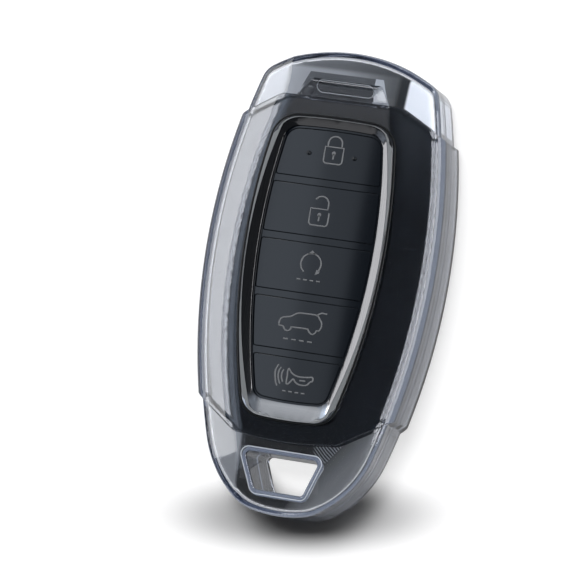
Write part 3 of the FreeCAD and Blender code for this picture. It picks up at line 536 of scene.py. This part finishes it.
drawings = {
    "lock": {"shift": (0.4, 0.0), "steps": 1, "closed": [lockBody], "open": [lockBow],
             "filled": [arcPoints((0, 0.5), 0.38, 0, 345, 18),
                        [(-0.16, 0.4), (0.16, 0.4), (0.14, -0.68), (-0.14, -0.68)]]},
    "unlock": {"shift": (-0.4, -0.9), "steps": 1, "closed": [], "open": [openBody],
               "filled": [arcPoints((0, 0.3), 0.38, 0, 345, 18),
                          [(-0.16, 0.2), (0.16, 0.2), (0.14, -0.95), (-0.14, -0.95)]]},
    "start": {"shift": (-0.4, 0.9), "steps": 1, "closed": [],
              "open": [arcPoints((0, 0), 2.0, 234, -36, 40)] + dashes(0, 5.2, -3.15, 4),
              "filled": [[(-1.0, 1.75), (-0.1, 2.1), (0.75, 1.85), (-0.08, 2.6)],
                         [(1.3, -0.95), (1.95, -1.2), (1.85, -1.6), (1.1, -1.95)]]},
    "tailgate": {"shift": (-0.5, 0.6), "steps": 4, "closed": [carBody],
                 "open": [carGate] + dashes(0, 6.4, -3.4, 4), "filled": []},
    "horn": {"shift": (0.0, 0.6), "steps": 4, "closed": [hornBody],
             "open": hornWaves + [[(1.2, -0.55), (2.4, -0.5)]] + dashes(0.4, 5.0, -2.9, 4), "filled": []},
}


def makeStrokeTree(name, material):
    tree = bpy.data.node_groups.new(name, "GeometryNodeTree")
    tree.interface.new_socket(name="Lines", in_out="INPUT", socket_type="NodeSocketGeometry")
    for label in ("Line Width", "Line Depth"):
        tree.interface.new_socket(name=label, in_out="INPUT", socket_type="NodeSocketFloat")
    tree.interface.new_socket(name="Strokes", in_out="OUTPUT", socket_type="NodeSocketGeometry")
    start = addNode(tree, "NodeGroupInput", (-800, 0))
    end = addNode(tree, "NodeGroupOutput", (800, 0))
    curves = addNode(tree, "GeometryNodeMeshToCurve", (-600, 0))
    upright = addNode(tree, "GeometryNodeSetCurveNormal", (-400, 0), mode="Z_UP")
    section = addNode(tree, "GeometryNodeCurvePrimitiveQuadrilateral", (-400, -250))
    sweep = addNode(tree, "GeometryNodeCurveToMesh", (-150, 0))
    sweep.inputs["Fill Caps"].default_value = True
    plain = addNode(tree, "GeometryNodeRealizeInstances", (150, 0))
    paint = addNode(tree, "GeometryNodeSetMaterial", (400, 0))
    paint.inputs["Material"].default_value = material
    link(tree, start.outputs["Lines"], curves.inputs["Mesh"])
    link(tree, curves.outputs["Curve"], upright.inputs["Curve"])
    link(tree, start.outputs["Line Width"], section.inputs["Width"])
    link(tree, start.outputs["Line Depth"], section.inputs["Height"])
    link(tree, upright.outputs["Curve"], sweep.inputs["Curve"])
    link(tree, section.outputs["Curve"], sweep.inputs["Profile Curve"])
    link(tree, sweep.outputs["Mesh"], plain.inputs["Geometry"])
    link(tree, plain.outputs["Geometry"], paint.inputs["Geometry"])
    link(tree, paint.outputs["Geometry"], end.inputs["Strokes"])
    return tree


def sweepStrokes(piece, tree, width, depth):
    # sizes in mm, set by identifier; the result replaces the piece's lines
    sizes = {"Line Width": width * mm, "Line Depth": depth * mm}
    modifier = piece.modifiers.new("strokes", "NODES")
    modifier.node_group = tree
    for item in tree.interface.items_tree:
        if item.item_type == "SOCKET" and item.in_out == "INPUT" and item.name in sizes:
            modifier[item.identifier] = sizes[item.name]
    graph = bpy.context.evaluated_depsgraph_get()
    baked = bpy.data.meshes.new_from_object(piece.evaluated_get(graph))
    baked.name = piece.name
    piece.modifiers.clear()
    piece.data = baked


def linkPiece(name, build):
    mesh = bpy.data.meshes.new(name)
    build.to_mesh(mesh)
    build.free()
    piece = bpy.data.objects.new(name, mesh)
    scene.collection.objects.link(piece)
    return piece


def addLine(build, points, closed):
    verts = [build.verts.new(point) for point in points]
    for a, b in zip(verts, verts[1:] + verts[:1] if closed else verts[1:]):
        build.edges.new((a, b))


def smoothLine(points, closed, steps):
    # Catmull-Rom through the drawn points
    count = len(points)
    result = []
    for i in range(count if closed else count - 1):
        near = [i - 1, i, i + 1, i + 2]
        near = [points[k % count] if closed else points[min(max(k, 0), count - 1)] for k in near]
        for t in (s / steps for s in range(steps)):
            spot = []
            for a, b, c, d in zip(*near):
                curve = (2 * a - 5 * b + 4 * c - d) * t ** 2 + (3 * b - a - 3 * c + d) * t ** 3
                spot.append(0.5 * (2 * b + (c - a) * t + curve))
            result.append(tuple(spot))
    if not closed:
        result.append(points[-1])
    return result


def drawMark(name, drawing, tree, material, look):
    low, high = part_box("key_" + name)
    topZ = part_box("keypad_frame")[1].z
    shiftX, shiftY = drawing["shift"]
    middle = Vector(((low.x + high.x) / 2 + shiftX * mm, (low.y + high.y) / 2 + shiftY * mm, 0))
    levelZ = topZ + (look["inkDepth"] / 2 - look["sunk"]) * mm
    build = bmesh.new()
    for kind in ("closed", "open"):
        for points in drawing[kind]:
            line = smoothLine(points, kind == "closed", drawing["steps"] if len(points) > 2 else 1)
            addLine(build, [middle + Vector((x * mm, y * mm, levelZ)) for x, y in line], kind == "closed")
    piece = linkPiece("mark_" + name, build)
    sweepStrokes(piece, tree, look["lineWidth"], look["inkDepth"])
    build = bmesh.new()
    build.from_mesh(piece.data)
    bottomZ = levelZ - look["inkDepth"] / 2 * mm
    for shape in drawing["filled"]:
        verts = [build.verts.new(middle + Vector((x * mm, y * mm, bottomZ))) for x, y in shape]
        face = build.faces.new(verts)
        raised = bmesh.ops.extrude_face_region(build, geom=[face])["geom"]
        moved = [part for part in raised if isinstance(part, bmesh.types.BMVert)]
        bmesh.ops.translate(build, verts=moved, vec=(0, 0, look["inkDepth"] * mm))
    bmesh.ops.recalc_face_normals(build, faces=build.faces)
    build.to_mesh(piece.data)
    build.free()
    piece.data.materials.clear()
    piece.data.materials.append(material)
    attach(piece, name + "_key")


inkGrey = grainMaterial("inkGrey", markLook)
inkTree = makeStrokeTree("inkStroke", inkGrey)
for name in keyNames:
    drawMark(name, drawings[name], inkTree, inkGrey, markLook)
print("key marks drawn")

# fine lines on the front shell, in mm: pale beads round the mouth of the key-ring hole and round the
# pocket's slot, standing for painted highlight lines, with half widths and y of their high and low edge, and
# dark glue along the window ring

holeBeadLook = {"halves": (7.5, 4.75), "edges": (-33.6, -40.6), "outside": 0.85, "corner": 1.5,
                "cornerSteps": 6, "width": 0.17, "depth": 0.14, "lift": 0.03, "finish": "holeHighlightPaint",
                "grainScale": 900.0, "colourA": (0.5, 0.54, 0.6), "colourB": (0.58, 0.62, 0.7),
                "roughness": 0.2, "roughSpread": 0.05}
pocketBeadLook = {"halves": (5.7, 5.7), "edges": (38.6, 36.55), "outside": 0.1, "corner": 1.35,
                  "cornerSteps": 6, "width": 0.14, "depth": 0.1, "lift": 0.02, "finish": "pocketHighlightPaint",
                  "grainScale": 900.0, "colourA": (0.26, 0.28, 0.31), "colourB": (0.3, 0.32, 0.36),
                  "roughness": 0.2, "roughSpread": 0.05}
gasketLook = {"outside": 0.28, "width": 0.42, "depth": 0.06, "lift": 0.0, "rimUp": 0.995, "wallUp": 0.1,
              "finish": "darkGlue", "grainScale": 900.0, "colourA": (0.003, 0.0035, 0.004),
              "colourB": (0.004, 0.0045, 0.005), "roughness": 0.5, "roughSpread": 0.05}


def roundedLoop(corners, radius, steps):
    # corners in turning order, each replaced by an arc that touches both of its sides
    result = []
    for i, corner in enumerate(corners):
        before = (corners[i - 1] - corner).normalized()
        after = (corners[(i + 1) % len(corners)] - corner).normalized()
        half = before.angle(after) / 2
        middle = corner + (before + after).normalized() * (radius / math.sin(half))
        start = corner + before * (radius / math.tan(half)) - middle
        end = corner + after * (radius / math.tan(half)) - middle
        result += [middle + start.lerp(end, k / steps).normalized() * radius for k in range(steps + 1)]
    return result


def mouthOutline(look):
    (highHalf, lowHalf), (highY, lowY), out = look["halves"], look["edges"], look["outside"]
    lean = (highHalf - lowHalf) / (highY - lowY)
    side = out * math.sqrt(1 + lean ** 2)
    high, low = highHalf + lean * out + side, lowHalf - lean * out + side
    highY, lowY = highY + out, lowY - out
    corners = [Vector(corner) for corner in ((high, highY), (-high, highY), (-low, lowY), (low, lowY))]
    return [spot * mm for spot in roundedLoop(corners, look["corner"], look["cornerSteps"])]


def ringOutline(look):
    # the ring's outer edge, where its flat rim meets the upright wall, as points in order
    build = bmesh.new()
    build.from_mesh(nodes["window_trim_ring"].data)
    bmesh.ops.remove_doubles(build, verts=build.verts, dist=weldReach)
    rim = set()
    for edge in build.edges:
        ups = sorted(face.normal.z for face in edge.link_faces)
        if len(ups) == 2 and ups[1] > look["rimUp"] and abs(ups[0]) < look["wallUp"]:
            rim.add(edge)
    edge = min(rim, key=lambda e: (e.verts[0].co + e.verts[1].co).x)
    corner = edge.verts[0]
    points = []
    while edge:
        rim.discard(edge)
        points.append(corner.co.copy())
        corner = edge.other_vert(corner)
        edge = next((e for e in corner.link_edges if e in rim), None)
    build.free()
    return points


def gasketOutline(look):
    points = ringOutline(look)
    middle = sum(points, Vector()) / len(points)
    spots = []
    for i, point in enumerate(points):
        along = points[(i + 1) % len(points)] - points[i - 1]
        away = Vector((along.y, -along.x, 0)).normalized() * look["outside"] * mm
        if away.dot(point - middle) < 0:
            away.negate()
        spots.append((point + away).xy)
    return spots


def sweepOnShell(name, spots, look):
    # a closed line laid on the shell's outside
    shell = nodes["cover_front_shell"]
    lift = Vector((0, 0, look["lift"] * mm))
    places = [shell.ray_cast(Vector((x, y, aboveAll)), Vector((0, 0, -1)))[1] for x, y in spots]
    build = bmesh.new()
    addLine(build, [place + lift for place in places], True)
    piece = linkPiece(name, build)
    tree = makeStrokeTree(name + "Sweep", grainMaterial(look["finish"], look))
    sweepStrokes(piece, tree, look["width"], look["depth"])
    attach(piece, "cover_front")


sweepOnShell("hole_bead", mouthOutline(holeBeadLook), holeBeadLook)
sweepOnShell("pocket_bead", mouthOutline(pocketBeadLook), pocketBeadLook)
sweepOnShell("window_gasket", gasketOutline(gasketLook), gasketLook)
print("beads and gasket swept")

# floor, world and lamps; lengths in metres, the floor's fades as shares of a reach

stageLook = {
    "floorHalf": 3.0, "floorDrop": 0.00002, "floorColour": (0.42, 0.42, 0.425), "fibreScale": 30,
    "paperRough": (0.85, 0.95), "paperShine": 0.1, "whiteFill": 0.66, "mirrorFill": 0.2,
    "poolMiddle": (0.0008, -0.0434, 0.0), "poolReach": (0.027, 0.0075, 1.0), "poolTurn": 8.9,
    "poolFade": (0.45, 1.25),
    "underReach": (0.0225, 0.0445, 1.0), "underFade": (0.84, 0.97), "underFill": 0.8, "underSeen": 0.65,
}
worldLook = {"skyColour": (0.86, 0.95, 1.08), "sky": (0.06, 0.3), "skyFade": (0.2, 0.6), "dome": (0.03, 1.1),
             "domeFade": (-0.05, 0.75), "insideLevel": 2.05, "insideWalls": 4}


def lightRays(tree, place):
    rays = addNode(tree, "ShaderNodeLightPath", place).outputs
    beside = (place[0] + 180, place[1])
    return rays, math2(tree, "MAXIMUM", rays["Is Glossy Ray"], rays["Is Transmission Ray"], beside)


def makeFloor(look):
    # a hair below the flat back, so that the two faces don't lie in one plane
    half, low = look["floorHalf"], -look["floorDrop"]
    build = bmesh.new()
    corners = ((-half, -half, low), (half, -half, low), (half, half, low), (-half, half, low))
    build.faces.new([build.verts.new(corner) for corner in corners])
    floor = linkPiece("floor", build)
    material, tree, shader = newMaterial("paperFloor")
    spot = objectPlace(tree, (-1100, 0))
    fibre = addNoise(tree, spot, look["fibreScale"], detail=2, place=(-700, 200))
    link(tree, mapRange(tree, fibre, (0, 1), look["paperRough"], (-450, 200)), shader.inputs["Roughness"])
    shader.inputs["Base Color"].default_value = (*look["floorColour"], 1)
    shader.inputs["Specular IOR Level"].default_value = look["paperShine"]
    # the paper is filled up to white where it is seen, but the fill is left out in a painted ellipse under
    # the lower end, where the lamp-made shadow then shows darker: partly painted shadow
    turned = addNode(tree, "ShaderNodeMapping", (-800, -200))
    turned.inputs["Rotation"].default_value = (0, 0, -math.radians(look["poolTurn"]))
    link(tree, vector2(tree, "SUBTRACT", spot, look["poolMiddle"], (-900, -200)), turned.inputs["Vector"])
    away = vector2(tree, "DIVIDE", turned.outputs["Vector"], look["poolReach"], (-720, -200))
    away = vector2(tree, "LENGTH", away, None, (-540, -200))
    fill = mapRange(tree, away, look["poolFade"], (0, look["whiteFill"]), (-360, -200), smooth=True)
    # painted light: under the part the paper glows white where it is seen through the key-ring hole and the
    # clear walls, though it lies in the part's shadow
    inner = vector2(tree, "DIVIDE", spot, look["underReach"], (-720, -700))
    inner = vector2(tree, "LENGTH", inner, None, (-540, -700))
    under = mapRange(tree, inner, look["underFade"], (look["underFill"], 0), (-360, -700), smooth=True)
    rays, mirror = lightRays(tree, (-540, -450))
    mirror = math2(tree, "MULTIPLY", mirror, look["mirrorFill"] / look["whiteFill"], (-200, -450))
    around = math2(tree, "MAXIMUM", rays["Is Camera Ray"], mirror, (-50, -450))
    around = math2(tree, "MULTIPLY", around, fill, (50, -300))
    through = math2(tree, "MULTIPLY", rays["Is Transmission Ray"], look["underSeen"], (-200, -600))
    through = math2(tree, "MAXIMUM", rays["Is Camera Ray"], through, (-50, -600))
    through = math2(tree, "MULTIPLY", through, under, (100, -600))
    shader.inputs["Emission Color"].default_value = (1, 1, 1, 1)
    link(tree, math2(tree, "MAXIMUM", around, through, (200, -400)), shader.inputs["Emission Strength"])
    floor.data.materials.append(material)


def makeWorld(look):
    # mirrored: dark overhead, lighter beyond the upper end; as soft light: a dome, brighter on that side
    world = bpy.data.worlds.new("studio")
    scene.world = world
    world.use_nodes = True
    tree = world.node_tree
    back = tree.nodes["Background"]
    around = addNode(tree, "ShaderNodeTexCoord", (-1100, 0)).outputs["Generated"]
    beyond = splitVector(tree, around, (-900, 0))["Y"]
    dome = mapRange(tree, beyond, look["domeFade"], look["dome"], (-700, 0), smooth=True)
    sky = mapRange(tree, beyond, look["skyFade"], look["sky"], (-700, -300), smooth=True)
    rays, seen = lightRays(tree, (-900, -600))
    first = math2(tree, "LESS_THAN", rays["Diffuse Depth"], halfCount, (-700, -700))
    seen = math2(tree, "MAXIMUM", seen, rays["Is Camera Ray"], (-400, -650))
    seen = math2(tree, "MULTIPLY", seen, first, (-250, -600))
    # what lies under the clear shell gets plain soft light, because the shell keeps the key out
    later = math2(tree, "GREATER_THAN", rays["Diffuse Depth"], halfCount, (-700, -900))
    fewest = look["insideWalls"] - halfCount
    walls = math2(tree, "GREATER_THAN", rays["Transmission Depth"], fewest, (-700, -1050))
    inside = math2(tree, "MULTIPLY", later, walls, (-550, -950))
    soft = mixTwo(tree, inside, dome, look["insideLevel"], (-400, 150), "FLOAT")
    link(tree, mixTwo(tree, seen, soft, sky, (-200, 0), "FLOAT"), back.inputs["Strength"])
    link(tree, mixTwo(tree, seen, (1, 1, 1), look["skyColour"], (-200, 250)), back.inputs["Color"])


# softboxes: compass turn and height of their middle in degrees, distance in metres, size and brightness;
# the key lights the paper and the print, the panels are only there to be mirrored
lampLooks = {
    "overKey": {"turn": 99.0, "height": 76.0, "distance": 0.9, "size": (0.3, 0.3), "level": 24.0},
    "leftPanel": {"turn": 166.0, "height": 16.5, "distance": 0.5, "size": (0.6, 0.15), "level": 3.4},
    "leftVeil": {"turn": 178.0, "height": 46.0, "distance": 0.5, "size": (0.45, 0.25), "level": 0.5,
                 "tint": (0.86, 0.96, 1.1)},
    "sideVeil": {"turn": 178.0, "height": 38.0, "distance": 0.5, "size": (0.45, 0.15), "level": 0.32,
                 "tint": (0.86, 0.96, 1.1)},
    "topVeil": {"turn": 132.0, "height": 63.0, "distance": 0.5, "size": (0.16, 0.11), "level": 0.28},
    "frontVeil": {"turn": -127.0, "height": 62.0, "distance": 0.5, "size": (0.16, 0.11), "level": 0.45},
    "rightStrip": {"turn": 5.0, "height": 15.5, "distance": 0.5, "size": (0.5, 0.26), "level": 5.2},
}
lampAim = Vector((0, 0, 0.015))


def makeLamp(name, look, mirrored):
    width, height = look["size"]
    lamp = bpy.data.lights.new(name, "AREA")
    lamp.shape = "RECTANGLE"
    lamp.size, lamp.size_y = width, height
    lamp.energy = look["level"] * math.pi * width * height
    lamp.color = look.get("tint", (1, 1, 1))
    turn, rise = math.radians(look["turn"]), math.radians(look["height"])
    way = Vector((math.cos(turn) * math.cos(rise), math.sin(turn) * math.cos(rise), math.sin(rise)))
    facing = way.to_track_quat("Z", "Y").to_matrix().to_4x4()
    holder = bpy.data.objects.new(name, lamp)
    holder.matrix_world = Matrix.Translation(lampAim + way * look["distance"]) @ facing
    holder.visible_glossy = mirrored
    holder.visible_transmission = mirrored
    holder.visible_diffuse = not mirrored
    scene.collection.objects.link(holder)


makeFloor(stageLook)
makeWorld(worldLook)
for name, look in lampLooks.items():
    makeLamp(name, look, mirrored=name != "overKey")
scene.view_settings.view_transform = "Standard"
print("stage lit")

# camera fitted to the photograph's view, in mm and degrees

cameraLook = {"aim": (0.0, -1.0, 10.0), "distance": 700.0, "yaw": 16.59, "pitch": -4.92, "roll": 9.71,
              "lens": 227.6, "sensor": 36.0, "nearest": 10.0, "right": -6.4, "up": 0.75}


def makeCamera(look):
    yaw, pitch, roll = (math.radians(look[k]) for k in ("yaw", "pitch", "roll"))
    back = Vector((math.sin(yaw) * math.cos(pitch), math.sin(pitch), math.cos(yaw) * math.cos(pitch)))
    flat = Vector((math.cos(yaw), 0, -math.sin(yaw)))
    rise = back.cross(flat)
    right = flat * math.cos(roll) + rise * math.sin(roll)
    up = rise * math.cos(roll) - flat * math.sin(roll)
    place = (Vector(look["aim"]) + back * look["distance"] + right * look["right"] + up * look["up"]) * mm
    camera = bpy.data.cameras.new("camera")
    camera.lens = look["lens"]
    camera.sensor_width = look["sensor"]
    camera.clip_start = look["nearest"] * mm
    holder = bpy.data.objects.new("camera", camera)
    holder.matrix_world = Matrix.Translation(place) @ Matrix((right, up, back)).transposed().to_4x4()
    scene.collection.objects.link(holder)
    scene.camera = holder


makeCamera(cameraLook)
print("camera placed")
